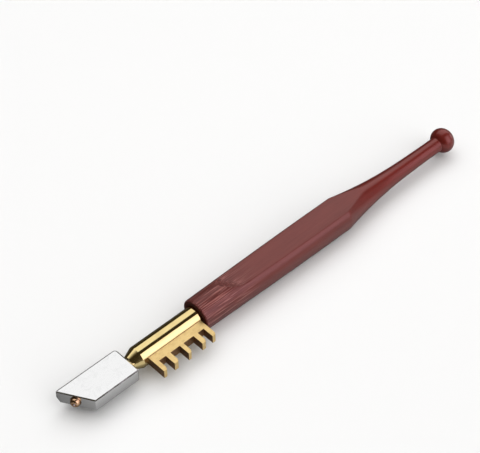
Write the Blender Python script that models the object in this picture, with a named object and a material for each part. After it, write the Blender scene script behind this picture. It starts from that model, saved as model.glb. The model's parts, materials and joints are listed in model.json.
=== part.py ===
"""Glass cutter with a diamond point, a breaking comb and a turned hardwood handle.

The origin is the centre of the flat under the handle. +X runs along the tool from its head to the
ball at the end of its handle, the comb's teeth point to -Y, and +Z is up. Stations are distances
along the tool's own axis, counted from the back of the head.
"""

import math

import bmesh
import bpy
from mathutils import Matrix, Vector

MM = 0.001

# Frame
GRIP_STATION = 76.0 * MM
FLAT_DEPTH = 4.75 * MM
GAP = 0.1 * MM

# Head
HEAD_LONG_SIDE = 25.65 * MM
HEAD_SHORT_SIDE = 18.2 * MM
HEAD_WIDTH = 12.0 * MM
HEAD_THICKNESS = 5.0 * MM
HEAD_EDGE_BEVEL = 0.25 * MM
CORNER_RADII = (0.4 * MM, 0.5 * MM, 0.6 * MM, 1.2 * MM)
TOE_RELIEF = (1.65 * MM, 3.3 * MM)
STEM_BORE_DEPTH = 9.0 * MM

# Diamond and its setting
SETTING_RADIUS = 1.7 * MM
SETTING_SHANK = 5.0 * MM
SETTING_PROUD = 0.9 * MM
SETTING_DOME = 0.7 * MM
SOCKET_RADIUS = 0.55 * MM
SOCKET_DEPTH = 0.7 * MM
DIAMOND_RADIUS = 0.42 * MM
DIAMOND_LENGTH = 0.95 * MM

# Ferrule tube
TUBE_RADIUS = 4.0 * MM
TUBE_BORE_RADIUS = 3.4 * MM
NOSE_RADIUS = 2.5 * MM
NOSE_BORE_RADIUS = 1.72 * MM
NOSE_START = 0.4 * MM
NOSE_END = 4.05 * MM
TUBE_END = 45.0 * MM

# Breaking comb
COMB_START = 5.8 * MM
COMB_THICKNESS = 3.5 * MM
COMB_INNER = 3.2 * MM
COMB_ROOT = 7.05 * MM
COMB_TIP = 11.5 * MM
TEETH = (1.7 * MM, 2.0 * MM, 1.6 * MM, 1.9 * MM, 1.7 * MM)
NOTCHES = (2.9 * MM, 4.1 * MM, 4.4 * MM, 2.6 * MM)
TOOTH_CHAMFER = (0.45 * MM, 0.9 * MM)

# Swivel inside the tube
STEM_RADIUS = 1.6 * MM
STEM_TAIL_RADIUS = 1.2 * MM
STEM_SHOULDER = 18.6 * MM
STEM_END = 24.0 * MM
RUNNING_CLEARANCE = 0.05 * MM
BUSH_START = 8.0 * MM
BUSH_END = 18.0 * MM
WASHER_RADIUS = 2.1 * MM
WASHER_START = 18.15 * MM
WASHER_THICKNESS = 0.3 * MM
COLLAR_START = 18.75 * MM
COLLAR_END = 21.2 * MM
COLLAR_RADIUS = 3.1 * MM
NUT_START = 21.3 * MM
NUT_THICKNESS = 2.0 * MM
NUT_CORNER_RADIUS = 2.3 * MM
STOP_PIN_RADIUS = 0.35 * MM
STOP_PIN_CIRCLE = 2.6 * MM
STOP_PIN_START = 15.5 * MM
STOP_PIN_END = 20.9 * MM
SWIVEL_LIMIT = math.radians(12.0)
LOCK_PIN_RADIUS = 0.75 * MM
LOCK_PIN_STATION = 4.5 * MM

# Handle
HANDLE_START = 29.6 * MM
HANDLE_FRONT_RADIUS = 6.05 * MM
HANDLE_FRONT_ROUND = 0.7 * MM
HANDLE_RADIUS = 6.62 * MM
HANDLE_FULLEST = 85.0 * MM
SWELL_POWER = 1.5
SHOULDER_STATION = 98.0 * MM
TAPER_REACH = (16.5 * MM, 27.0 * MM)
TAPER_RADII = (3.5 * MM, 2.85 * MM)
STEM_NECK_STATION = 147.0 * MM
NECK_RADIUS = 2.83 * MM
BALL_STATION = 152.4 * MM
BALL_RADIUS = 4.75 * MM
BALL_HALF_LENGTH = 4.05 * MM
HANDLE_BORE_END = 46.0 * MM
FLAT_START = 47.5 * MM
FLAT_RUN_OUT = 14.0 * MM
FLAT_SKEW = 0.55
FLAT_CUTTER_WIDTH = 20.0 * MM

ROUND_SEGMENTS = 64
SMALL_SEGMENTS = 32
TINY_SEGMENTS = 16


def clear_scene():
    for obj in list(bpy.data.objects):
        bpy.data.objects.remove(obj, do_unlink=True)


def make_material(name, colour, roughness, metallic):
    material = bpy.data.materials.new(name)
    material.use_nodes = True
    shader = material.node_tree.nodes["Principled BSDF"]
    shader.inputs["Base Color"].default_value = (*colour, 1.0)
    shader.inputs["Roughness"].default_value = roughness
    shader.inputs["Metallic"].default_value = metallic
    return material


def make_object(name, mesh, parent, material=None):
    obj = bpy.data.objects.new(name, mesh)
    bpy.context.scene.collection.objects.link(obj)
    obj.parent = parent
    if material is not None:
        mesh.materials.append(material)
    return obj


def make_cutter(name, mesh, parent):
    cutter = make_object(name, mesh, parent)
    cutter.hide_render = True
    cutter.display_type = "WIRE"
    return cutter


def cut(obj, cutter):
    boolean = obj.modifiers.new("Cut " + cutter.name, "BOOLEAN")
    boolean.operation = "DIFFERENCE"
    boolean.solver = "EXACT"
    boolean.object = cutter


def finish_mesh(mesh, built, smooth_angle=30.0):
    bmesh.ops.recalc_face_normals(built, faces=built.faces)
    built.to_mesh(mesh)
    built.free()
    mesh.shade_smooth()
    mesh.set_sharp_from_angle(angle=math.radians(smooth_angle))
    return mesh


def lathe(name, profile, segments, closed=False):
    """Turns (station, radius) points about the X axis. A radius of 0 makes one point on the axis.

    An open profile starts and ends on the axis; a closed one is a ring with a bore."""
    built = bmesh.new()
    rings = []
    for station, radius in profile:
        if radius == 0.0:
            rings.append([built.verts.new((station, 0.0, 0.0))])
            continue
        ring = []
        for step in range(segments):
            angle = 2.0 * math.pi * step / segments
            ring.append(built.verts.new((station, radius * math.cos(angle), radius * math.sin(angle))))
        rings.append(ring)
    pairs = list(zip(rings, rings[1:]))
    if closed:
        pairs.append((rings[-1], rings[0]))
    for first, second in pairs:
        for step in range(segments):
            after = (step + 1) % segments
            corners = [first[step % len(first)], first[after % len(first)]]
            corners += [second[after % len(second)], second[step % len(second)]]
            built.faces.new(list(dict.fromkeys(corners)))
    return finish_mesh(bpy.data.meshes.new(name), built)


def extrude_outline(name, points, low, high):
    """A straight prism over an outline in the XY plane."""
    built = bmesh.new()
    base = built.faces.new([built.verts.new((x, y, low)) for x, y in points])
    grown = bmesh.ops.extrude_face_region(built, geom=[base])
    moved = [item for item in grown["geom"] if isinstance(item, bmesh.types.BMVert)]
    bmesh.ops.translate(built, verts=moved, vec=(0.0, 0.0, high - low))
    return finish_mesh(bpy.data.meshes.new(name), built)


def arc(centre, radius, start, end, steps):
    """Points on an arc in a plane, from one angle to another."""
    points = []
    for step in range(steps + 1):
        angle = start + (end - start) * step / steps
        points.append((centre[0] + radius * math.cos(angle), centre[1] + radius * math.sin(angle)))
    return points


def round_corner(before, corner, after, radius, steps=5):
    """The arc that rounds one convex corner of an outline that runs counter-clockwise."""
    corner = Vector(corner)
    back = (Vector(before) - corner).normalized()
    onward = (Vector(after) - corner).normalized()
    half = back.angle(onward) / 2.0
    centre = corner + (back + onward).normalized() * (radius / math.sin(half))
    first = corner + back * (radius / math.tan(half)) - centre
    last = corner + onward * (radius / math.tan(half)) - centre
    from_angle = math.atan2(first.y, first.x)
    to_angle = math.atan2(last.y, last.x)
    if to_angle < from_angle:
        to_angle += 2.0 * math.pi
    return arc(centre, radius, from_angle, to_angle, steps)


def head_outline():
    """Counter-clockwise from the point of the long side: two sole corners, then two back corners."""
    half = HEAD_WIDTH / 2.0
    corners = [(-HEAD_LONG_SIDE, half), (-HEAD_SHORT_SIDE, -half), (0.0, -half), (0.0, half)]
    points = []
    for index, corner in enumerate(corners):
        points += round_corner(corners[index - 1], corner, corners[(index + 1) % 4], CORNER_RADII[index])
    return points


def toe_relief_cutter(parent):
    """A block with one face on the slanting plane that takes off the toe's bottom corner."""
    toe = Vector((-HEAD_LONG_SIDE, HEAD_WIDTH / 2.0, -HEAD_THICKNESS / 2.0))
    along_sole = Vector((HEAD_LONG_SIDE - HEAD_SHORT_SIDE, -HEAD_WIDTH, 0.0)).normalized()
    run, rise = TOE_RELIEF
    top = toe + Vector((0.0, 0.0, rise))
    on_sole = toe + along_sole * run
    on_side = toe + Vector((run, 0.0, 0.0))
    normal = (on_side - top).cross(on_sole - top).normalized()
    if normal.z > 0.0:
        normal.negate()
    size = 2.0 * HEAD_THICKNESS
    built = bmesh.new()
    bmesh.ops.create_cube(built, size=size)
    cutter = make_cutter("toe_relief", finish_mesh(bpy.data.meshes.new("toe_relief"), built), parent)
    turn = normal.to_track_quat("Z", "Y").to_matrix().to_4x4()
    cutter.matrix_local = Matrix.Translation(top + normal * size / 2.0) @ turn
    return cutter


def sole_frame():
    """Puts local +X along the sole's outward normal, with its origin at the sole's centre."""
    run = HEAD_LONG_SIDE - HEAD_SHORT_SIDE
    normal = math.atan2(-run, -HEAD_WIDTH)
    centre = Vector((-(HEAD_LONG_SIDE + HEAD_SHORT_SIDE) / 2.0, 0.0, 0.0))
    return Matrix.Translation(centre) @ Matrix.Rotation(normal, 4, "Z")


def build_head(parent, material):
    half = HEAD_THICKNESS / 2.0
    mesh = extrude_outline("head_block", head_outline(), -half, half)
    head = make_object("head_block", mesh, parent, material)
    bevel = head.modifiers.new("Softened edges", "BEVEL")
    bevel.width = HEAD_EDGE_BEVEL
    bevel.segments = 2
    bevel.limit_method = "ANGLE"
    bevel.angle_limit = math.radians(60.0)
    bore = [(-STEM_BORE_DEPTH, 0.0), (-STEM_BORE_DEPTH, STEM_RADIUS + GAP)]
    bore += [(1.0 * MM, STEM_RADIUS + GAP), (1.0 * MM, 0.0)]
    cut(head, make_cutter("stem_bore", lathe("stem_bore", bore, SMALL_SEGMENTS), parent))
    socket_radius = SETTING_RADIUS + GAP
    socket_depth = SETTING_SHANK + GAP
    socket = [(-socket_depth, 0.0), (-socket_depth, socket_radius)]
    socket += [(1.0 * MM, socket_radius), (1.0 * MM, 0.0)]
    setting_bore = make_cutter("setting_bore", lathe("setting_bore", socket, SMALL_SEGMENTS), parent)
    setting_bore.matrix_local = sole_frame()
    cut(head, setting_bore)
    pin_radius = LOCK_PIN_RADIUS + GAP
    hole = [(-HEAD_THICKNESS, 0.0), (-HEAD_THICKNESS, pin_radius), (0.0, pin_radius), (0.0, 0.0)]
    pin_bore = make_cutter("lock_pin_bore", lathe("lock_pin_bore", hole, TINY_SEGMENTS), parent)
    pin_bore.matrix_local = lock_pin_frame()
    cut(head, pin_bore)
    cut(head, toe_relief_cutter(parent))


def lock_pin_frame():
    """Puts local -X downwards, with its origin on the tool's axis."""
    centre = Matrix.Translation((-LOCK_PIN_STATION, 0.0, 0.0))
    return centre @ Matrix.Rotation(-math.pi / 2.0, 4, "Y")


def build_lock_pin(parent, material):
    """A short pin, driven in from below, that locks the stem in the head."""
    low = -HEAD_THICKNESS / 2.0 + GAP
    high = -STEM_RADIUS - GAP
    profile = [(low, 0.0), (low, LOCK_PIN_RADIUS), (high, LOCK_PIN_RADIUS), (high, 0.0)]
    pin = make_object("stem_lock_pin", lathe("stem_lock_pin", profile, TINY_SEGMENTS), parent, material)
    pin.matrix_local = lock_pin_frame()


def build_setting(parent, material):
    profile = [(-SETTING_SHANK, 0.0), (-SETTING_SHANK, SETTING_RADIUS), (SETTING_PROUD, SETTING_RADIUS)]
    mouth = SOCKET_RADIUS + GAP
    steps = 5
    for step in range(1, steps + 1):
        share = step / steps
        radius = SETTING_RADIUS + (mouth - SETTING_RADIUS) * share
        profile.append((SETTING_PROUD + SETTING_DOME * math.sin(share * math.pi / 2.0), radius))
    floor = SETTING_PROUD + SETTING_DOME - SOCKET_DEPTH
    profile += [(floor, SOCKET_RADIUS), (floor, 0.0)]
    setting = make_object(
        "diamond_setting", lathe("diamond_setting", profile, SMALL_SEGMENTS), parent, material
    )
    setting.matrix_local = sole_frame()


def build_diamond(parent, material):
    """A natural eight-faced crystal, standing on one point in its socket."""
    low = SETTING_PROUD + SETTING_DOME - SOCKET_DEPTH + GAP
    profile = [(low, 0.0), (low + DIAMOND_LENGTH / 2.0, DIAMOND_RADIUS), (low + DIAMOND_LENGTH, 0.0)]
    diamond = make_object("diamond", lathe("diamond", profile, 4), parent, material)
    diamond.matrix_local = sole_frame()


def build_stem(parent, material):
    front = -STEM_BORE_DEPTH + GAP
    profile = [(front, 0.0), (front, STEM_RADIUS), (STEM_SHOULDER, STEM_RADIUS)]
    profile += [(STEM_SHOULDER, STEM_TAIL_RADIUS), (STEM_END, STEM_TAIL_RADIUS), (STEM_END, 0.0)]
    make_object("swivel_stem", lathe("swivel_stem", profile, SMALL_SEGMENTS), parent, material)


def build_washer(parent, material):
    """A dished spring washer, which gives the swivel its light friction."""
    inner = STEM_RADIUS + GAP
    dish = 0.12 * MM
    end = WASHER_START + WASHER_THICKNESS
    profile = [(WASHER_START, inner), (WASHER_START + dish, WASHER_RADIUS)]
    profile += [(end + dish, WASHER_RADIUS), (end, inner)]
    mesh = lathe("spring_washer", profile, SMALL_SEGMENTS, closed=True)
    make_object("spring_washer", mesh, parent, material)


def build_collar(parent, material):
    """The collar's notch takes the stop pin, which ends the swivel at both sides."""
    inner = STEM_TAIL_RADIUS + GAP
    profile = [(COLLAR_START, inner), (COLLAR_START, COLLAR_RADIUS)]
    profile += [(COLLAR_END, COLLAR_RADIUS), (COLLAR_END, inner)]
    mesh = lathe("stop_collar", profile, SMALL_SEGMENTS, closed=True)
    collar = make_object("stop_collar", mesh, parent, material)
    half = SWIVEL_LIMIT + math.asin((STOP_PIN_RADIUS + GAP) / STOP_PIN_CIRCLE)
    bottom = STOP_PIN_CIRCLE - STOP_PIN_RADIUS - 2.0 * GAP
    outline = arc((0.0, 0.0), bottom, -half, half, 6) + arc((0.0, 0.0), 2.0 * COLLAR_RADIUS, half, -half, 6)
    length = COLLAR_END - COLLAR_START
    notch = make_cutter(
        "stop_notch", extrude_outline("stop_notch", outline, -length, 2.0 * length), parent
    )
    upright = Matrix.Rotation(-math.pi / 2.0, 4, "Y")
    notch.matrix_local = Matrix.Translation((COLLAR_END, 0.0, 0.0)) @ upright
    cut(collar, notch)


def build_nut(parent, material):
    inner = STEM_TAIL_RADIUS + GAP
    outer = NUT_CORNER_RADIUS
    end = NUT_START + NUT_THICKNESS
    body = [(NUT_START, 0.0), (NUT_START, outer), (end, outer), (end, 0.0)]
    nut = make_object("retaining_nut", lathe("retaining_nut", body, 6), parent, material)
    hole = [(NUT_START - MM, 0.0), (NUT_START - MM, inner), (end + MM, inner), (end + MM, 0.0)]
    cut(nut, make_cutter("nut_bore", lathe("nut_bore", hole, SMALL_SEGMENTS), parent))


def build_bush(parent, material):
    inner = STEM_RADIUS + RUNNING_CLEARANCE
    outer = TUBE_BORE_RADIUS - GAP
    profile = [(BUSH_START, inner), (BUSH_START, outer), (BUSH_END, outer), (BUSH_END, inner)]
    mesh = lathe("swivel_bush", profile, ROUND_SEGMENTS, closed=True)
    bush = make_object("swivel_bush", mesh, parent, material)
    radius = STOP_PIN_RADIUS + GAP
    start = STOP_PIN_START - GAP
    hole = [(start, 0.0), (start, radius), (BUSH_END + MM, radius), (BUSH_END + MM, 0.0)]
    bore = make_cutter("stop_pin_bore", lathe("stop_pin_bore", hole, TINY_SEGMENTS), parent)
    bore.location = (0.0, 0.0, STOP_PIN_CIRCLE)
    cut(bush, bore)


def build_stop_pin(parent, material):
    profile = [(STOP_PIN_START, 0.0), (STOP_PIN_START, STOP_PIN_RADIUS)]
    profile += [(STOP_PIN_END, STOP_PIN_RADIUS), (STOP_PIN_END, 0.0)]
    pin = make_object("stop_pin", lathe("stop_pin", profile, TINY_SEGMENTS), parent, material)
    pin.location = (0.0, 0.0, STOP_PIN_CIRCLE)


def build_tube(parent, material):
    wall = TUBE_RADIUS - TUBE_BORE_RADIUS
    nose_wall_end = NOSE_START + 2.0 * wall
    profile = [(NOSE_START, NOSE_BORE_RADIUS), (NOSE_START, NOSE_RADIUS), (NOSE_END, TUBE_RADIUS)]
    profile += [(TUBE_END, TUBE_RADIUS), (TUBE_END, TUBE_BORE_RADIUS)]
    profile += [(NOSE_END + wall, TUBE_BORE_RADIUS), (nose_wall_end, NOSE_BORE_RADIUS)]
    mesh = lathe("ferrule_tube", profile, ROUND_SEGMENTS, closed=True)
    make_object("ferrule_tube", mesh, parent, material)


def comb_outline():
    """Runs round the comb from its front inner corner; each tooth's rear corner is chamfered."""
    points = [(COMB_START, -COMB_INNER)]
    station = COMB_START
    for index, width in enumerate(TEETH):
        points.append((station, -COMB_TIP))
        points.append((station + width - TOOTH_CHAMFER[0], -COMB_TIP))
        points.append((station + width, -COMB_TIP + TOOTH_CHAMFER[1]))
        station += width
        if index < len(NOTCHES):
            points.append((station, -COMB_ROOT))
            station += NOTCHES[index]
            points.append((station, -COMB_ROOT))
    points.append((station, -COMB_INNER))
    return points


def build_comb(parent, material):
    half = COMB_THICKNESS / 2.0
    comb = make_object(
        "breaker_comb", extrude_outline("breaker_comb", comb_outline(), -half, half), parent, material
    )
    radius = TUBE_RADIUS + GAP
    end = COMB_START + sum(TEETH) + sum(NOTCHES) + 2.0 * MM
    saddle = [(COMB_START - 2.0 * MM, 0.0), (COMB_START - 2.0 * MM, radius), (end, radius), (end, 0.0)]
    cut(comb, make_cutter("comb_saddle", lathe("comb_saddle", saddle, ROUND_SEGMENTS), parent))


def bezier(points, share):
    back = 1.0 - share
    weights = (back ** 3, 3.0 * back * back * share, 3.0 * back * share * share, share ** 3)
    return tuple(sum(w * p[i] for w, p in zip(weights, points)) for i in range(2))


def handle_profile():
    """The turned outline: front edge, swelling grip, tapering neck and ball end."""
    edge_centre = (HANDLE_START + HANDLE_FRONT_ROUND, HANDLE_FRONT_RADIUS - HANDLE_FRONT_ROUND)
    profile = arc(edge_centre, HANDLE_FRONT_ROUND, math.pi, math.pi / 2.0, 4)
    grip_start = profile[-1][0]
    grip_steps = 8
    for step in range(1, grip_steps + 1):
        station = grip_start + (SHOULDER_STATION - grip_start) * step / grip_steps
        reach = max(0.0, HANDLE_FULLEST - station) / (HANDLE_FULLEST - grip_start)
        swell = (HANDLE_RADIUS - HANDLE_FRONT_RADIUS) * reach ** SWELL_POWER
        profile.append((station, HANDLE_RADIUS - swell))
    controls = (
        (SHOULDER_STATION, HANDLE_RADIUS),
        (SHOULDER_STATION + TAPER_REACH[0], TAPER_RADII[0]),
        (SHOULDER_STATION + TAPER_REACH[1], TAPER_RADII[1]),
        (STEM_NECK_STATION, NECK_RADIUS),
    )
    taper_steps = 14
    profile += [bezier(controls, step / taper_steps) for step in range(1, taper_steps + 1)]
    meeting = math.pi - math.asin(NECK_RADIUS / BALL_RADIUS)
    flattening = BALL_HALF_LENGTH / BALL_RADIUS
    for x, radius in arc((0.0, 0.0), BALL_RADIUS, meeting, 0.0, 14)[:-1]:
        profile.append((BALL_STATION + x * flattening, radius))
    profile.append((BALL_STATION + BALL_HALF_LENGTH, 0.0))
    return profile


def flat_cutter(name, parent, side):
    """Planes one flat, with a curved run-out at its front that crosses the grip on a skew.

    side is 1.0 for the flat on top and -1.0 for the flat underneath."""
    centre = (FLAT_START, FLAT_DEPTH + FLAT_RUN_OUT)
    outline = arc(centre, FLAT_RUN_OUT, math.pi, 1.5 * math.pi, 24)
    far = BALL_STATION - 2.0 * BALL_RADIUS
    outline += [(far, FLAT_DEPTH), (far, FLAT_DEPTH + FLAT_RUN_OUT)]
    built = bmesh.new()
    half = FLAT_CUTTER_WIDTH / 2.0
    near = [built.verts.new((x - FLAT_SKEW * half, half, z * side)) for x, z in outline]
    away = [built.verts.new((x + FLAT_SKEW * half, -half, z * side)) for x, z in outline]
    count = len(outline)
    for index in range(count):
        after = (index + 1) % count
        built.faces.new((near[index], near[after], away[after], away[index]))
    built.faces.new(near)
    built.faces.new(away)
    return make_cutter(name, finish_mesh(bpy.data.meshes.new(name), built), parent)


def build_handle(parent, material):
    bore = TUBE_RADIUS + GAP
    profile = [(HANDLE_BORE_END, 0.0), (HANDLE_BORE_END, bore), (HANDLE_START, bore)]
    profile += handle_profile()
    handle = make_object("handle", lathe("handle", profile, ROUND_SEGMENTS), parent, material)
    cut(handle, flat_cutter("top_flat", parent, 1.0))
    cut(handle, flat_cutter("under_flat", parent, -1.0))


def main():
    clear_scene()
    chrome = make_material("chrome", (0.80, 0.81, 0.82), 0.12, 1.0)
    steel = make_material("steel", (0.45, 0.45, 0.46), 0.35, 1.0)
    copper = make_material("copper", (0.62, 0.34, 0.18), 0.30, 1.0)
    crystal = make_material("crystal", (0.85, 0.88, 0.90), 0.05, 0.0)
    polished_brass = make_material("polished_brass", (0.83, 0.66, 0.28), 0.12, 1.0)
    cast_brass = make_material("cast_brass", (0.72, 0.52, 0.24), 0.45, 1.0)
    bronze = make_material("bronze", (0.55, 0.38, 0.18), 0.35, 1.0)
    hardwood = make_material("stained_hardwood", (0.15, 0.035, 0.03), 0.35, 0.0)

    tool_axis = make_object("tool_axis", None, None)
    tool_axis.location = (-GRIP_STATION, 0.0, FLAT_DEPTH)
    head_swivel = make_object("head_swivel", None, tool_axis)

    build_handle(tool_axis, hardwood)
    build_tube(tool_axis, polished_brass)
    build_comb(tool_axis, cast_brass)
    build_bush(tool_axis, bronze)
    build_stop_pin(tool_axis, steel)

    build_head(head_swivel, chrome)
    build_lock_pin(head_swivel, steel)
    build_stem(head_swivel, steel)
    build_washer(head_swivel, steel)
    build_collar(head_swivel, bronze)
    build_nut(head_swivel, steel)
    build_setting(head_swivel, copper)
    build_diamond(head_swivel, crystal)


main()
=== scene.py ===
"""Looks of a diamond glass cutter: stained handle, polished ferrule, filed comb and plated head.

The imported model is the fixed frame. +X runs along the tool from its head to its ball end, the comb's
teeth point to -Y and +Z is up. Stations are distances along the tool's own axis, counted from the
back of the head.
"""

import json
import math

import bmesh
import bpy
from bpy.props import FloatProperty, FloatVectorProperty, IntProperty, PointerProperty
from mathutils import Matrix, Vector, noise


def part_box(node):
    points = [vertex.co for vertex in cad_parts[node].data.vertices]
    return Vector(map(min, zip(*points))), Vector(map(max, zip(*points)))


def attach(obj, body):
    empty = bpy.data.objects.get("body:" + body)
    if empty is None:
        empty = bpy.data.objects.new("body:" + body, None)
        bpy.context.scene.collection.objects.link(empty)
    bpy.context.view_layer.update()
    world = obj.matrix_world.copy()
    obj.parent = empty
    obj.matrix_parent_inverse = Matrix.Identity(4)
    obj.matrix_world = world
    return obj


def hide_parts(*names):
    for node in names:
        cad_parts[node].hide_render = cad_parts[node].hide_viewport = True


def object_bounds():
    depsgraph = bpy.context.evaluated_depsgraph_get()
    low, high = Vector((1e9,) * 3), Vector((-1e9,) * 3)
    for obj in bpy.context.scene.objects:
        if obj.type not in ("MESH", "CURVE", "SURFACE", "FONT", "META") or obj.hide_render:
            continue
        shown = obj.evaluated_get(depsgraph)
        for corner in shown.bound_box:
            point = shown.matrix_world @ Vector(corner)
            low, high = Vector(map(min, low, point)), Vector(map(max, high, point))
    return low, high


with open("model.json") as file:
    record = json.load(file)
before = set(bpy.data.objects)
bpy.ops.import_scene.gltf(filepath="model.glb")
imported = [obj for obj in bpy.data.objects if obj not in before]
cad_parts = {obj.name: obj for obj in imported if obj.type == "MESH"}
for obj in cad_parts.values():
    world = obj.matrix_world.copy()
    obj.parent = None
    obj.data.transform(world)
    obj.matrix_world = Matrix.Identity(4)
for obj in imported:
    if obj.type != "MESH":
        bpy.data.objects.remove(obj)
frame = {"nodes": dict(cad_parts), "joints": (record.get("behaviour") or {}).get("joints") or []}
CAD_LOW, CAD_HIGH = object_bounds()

bl_info = {
    "name": "Glass Cutter",
    "version": (1, 0, 0),
    "blender": (4, 5, 0),
    "location": "View3D > Sidebar > Glass Cutter",
    "description": "Builds the finished pieces of a diamond glass cutter and the studio it stands in",
    "category": "Add Mesh",
}

MM = 0.001

# Places that the frame gives
AXIS = Vector(frame["joints"][0]["pos_m"])
HANDLE_LOW, HANDLE_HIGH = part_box("handle")
TUBE_LOW, TUBE_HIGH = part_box("ferrule_tube")
COMB_LOW, COMB_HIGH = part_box("breaker_comb")
HEAD_LOW, HEAD_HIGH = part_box("head_block")
STEM_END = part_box("swivel_stem")[1].x
PIN_LOW, PIN_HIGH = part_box("stem_lock_pin")

# Sockets of Blender's Mix node when it mixes colours
MIX_A, MIX_B, MIX_RESULT = 6, 7, 2

# The softboxes' edges across the tool: lower and upper turn and softness, all in degrees
FAR_PANEL = (31.0, 86.0, 2.0)
NEAR_PANEL = (117.0, 178.0, 2.0)
NEAR_CORE = (138.0, 168.0, 5.0)

# Their edges along the tool, as the X of a unit direction, each from dark to lit
FAR_START = (-0.36, -0.22)
NEAR_START = (-0.36, -0.10)
GAP_START, GAP_END = (0.58, 0.68), (0.90, 0.82)

# Light beside the softboxes: what their core adds, the dark room's own and the white backdrop's
CORE_EXTRA, ROOM, BACKDROP = 0.15, 0.038, 0.95


def station_of(x):
    return x - AXIS.x


def length(name, default):
    return FloatProperty(name=name, default=default, min=0.0, precision=5, subtype="DISTANCE", unit="LENGTH")


def colour(name, default):
    return FloatVectorProperty(name=name, default=default, size=3, min=0.0, max=1.0, subtype="COLOR")


def angle(name, degrees):
    return FloatProperty(name=name, default=math.radians(degrees), subtype="ANGLE", unit="ROTATION")


# ---- settings


class HandleSettings(bpy.types.PropertyGroup):
    front_radius: length("Radius where the grip starts", 6.05 * MM)
    front_round: length("Rounding of the grip's front edge", 0.7 * MM)
    fullest_radius: length("Radius at the grip's fullest place", HANDLE_HIGH.y)
    fullest_station: length("Where the grip is fullest", 85.0 * MM)
    shoulder_station: length("Where the taper starts", 98.0 * MM)
    neck_station: length("Where the taper ends", 147.0 * MM)
    neck_radius: length("Radius of the slim end before the ball", 2.83 * MM)
    ball_radius: length("Radius of the ball end across the tool", 4.75 * MM)
    ball_half_length: length("Half the ball end's length along the tool", 4.05 * MM)
    bore_radius: length("Bore that takes the ferrule", 4.1 * MM)
    bore_station: length("Where the bore ends", 46.0 * MM)
    flat_start: length("Where the planed flats reach their full depth", 47.5 * MM)
    run_out: length("Radius of the flats' curved front ends", 14.0 * MM)
    edge: length("How far the edges of the flats are rubbed down", 0.22 * MM)
    skew: FloatProperty(name="Slant of the flats' front ends across the grip", default=0.55)
    grip_stain: colour("Stained wood of the grip", (0.114, 0.0205, 0.0165))
    stem_stain: colour("Redder wood of the slim end", (0.136, 0.0125, 0.009))
    pore: colour("Open pores and dark grain", (0.040, 0.006, 0.005))
    # Painted highlight: the paler colour on the raised grain's crests near the ferrule, standing in for
    # glints.
    crest_highlight: colour("Painted highlight on the raised grain near the ferrule", (0.290, 0.115, 0.100))
    end_grain: colour("Bare end grain of the front face", (0.085, 0.017, 0.010))


class BrassSettings(bpy.types.PropertyGroup):
    nose_radius: length("Radius of the ferrule's front face", 2.5 * MM)
    nose_bore: length("Bore of the nose around the stem", 1.72 * MM)
    cone_end: length("Station where the nose cone meets the tube", 4.05 * MM)
    tube_bore: length("Bore radius of the tube", 3.4 * MM)
    comb_inner: length("How near to the axis the comb's plate starts", 3.2 * MM)
    comb_root: length("Distance of the notches' roots from the axis", 7.05 * MM)
    saddle_radius: length("Hollow that seats the comb on the tube", 4.1 * MM)
    corner: length("Rounding of the comb's outline", 0.10 * MM)
    break_edge: length("Filed break along the comb's edges", 0.08 * MM)
    bead: length("Radius of the solder between comb and tube", 0.15 * MM)
    bead_unevenness: length("How far the bead wanders", 0.05 * MM)
    seed: IntProperty(name="Seed of the solder's unevenness", default=7, min=0)
    polished: colour("Colour of the ferrule", (0.83, 0.66, 0.31))
    tarnish: colour("Duller patches of the ferrule", (0.60, 0.42, 0.19))
    cast: colour("Colour of the comb", (0.83, 0.60, 0.265))
    cast_dark: colour("Skin left in the comb's rough places", (0.56, 0.37, 0.15))
    # Painted shade: the darker brass colour put on the comb's end faces, notch walls and notch roots.
    shaded: colour("Darker sawn walls of the notches", (0.33, 0.180, 0.085))
    solder: colour("Colour of the solder beads", (0.42, 0.30, 0.14))


class HeadSettings(bpy.types.PropertyGroup):
    short_side: length("Length of the head's comb side", 18.2 * MM)
    edge_bevel: length("Width of the slant along the head's edges", 0.42 * MM)
    relief_run: length("Reach of the toe's relief along the sole", 1.65 * MM)
    relief_rise: length("Height of the toe's relief", 3.3 * MM)
    stem_bore: length("Radius of the bore for the stem", 1.7 * MM)
    stem_bore_depth: length("Depth of the bore for the stem", 9.0 * MM)
    stud_radius: length("Radius of the diamond's setting", 1.7 * MM)
    stud_shank: length("Depth of the setting in the head", 5.0 * MM)
    stud_proud: length("How far the setting stands out of the sole", 1.6 * MM)
    socket_radius: length("Seat of the diamond", 0.55 * MM)
    socket_depth: length("Depth of the diamond's seat", 0.7 * MM)
    diamond_radius: length("Half the width of the crystal", 0.42 * MM)
    diamond_length: length("Length of the crystal from point to point", 0.95 * MM)
    plate: colour("Bright plate of the head", (0.82, 0.82, 0.82))
    copper: colour("Colour of the setting", (0.74, 0.47, 0.28))
    crystal: colour("Colour of the diamond", (0.90, 0.93, 0.95))


class WorksSettings(bpy.types.PropertyGroup):
    thread_pitch: length("Pitch of the stem's thread", 0.45 * MM)
    thread_height: length("Radius of the thread's ridge", 0.07 * MM)
    stem_tail_radius: length("Radius of the stem's threaded tail", 1.2 * MM)
    stem_shoulder: length("Station where the tail starts", 18.6 * MM)
    steel: colour("Turned steel of the inner pieces", (0.47, 0.47, 0.48))
    bronze: colour("Bearing bronze of the bush and the collar", (0.56, 0.37, 0.18))


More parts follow.
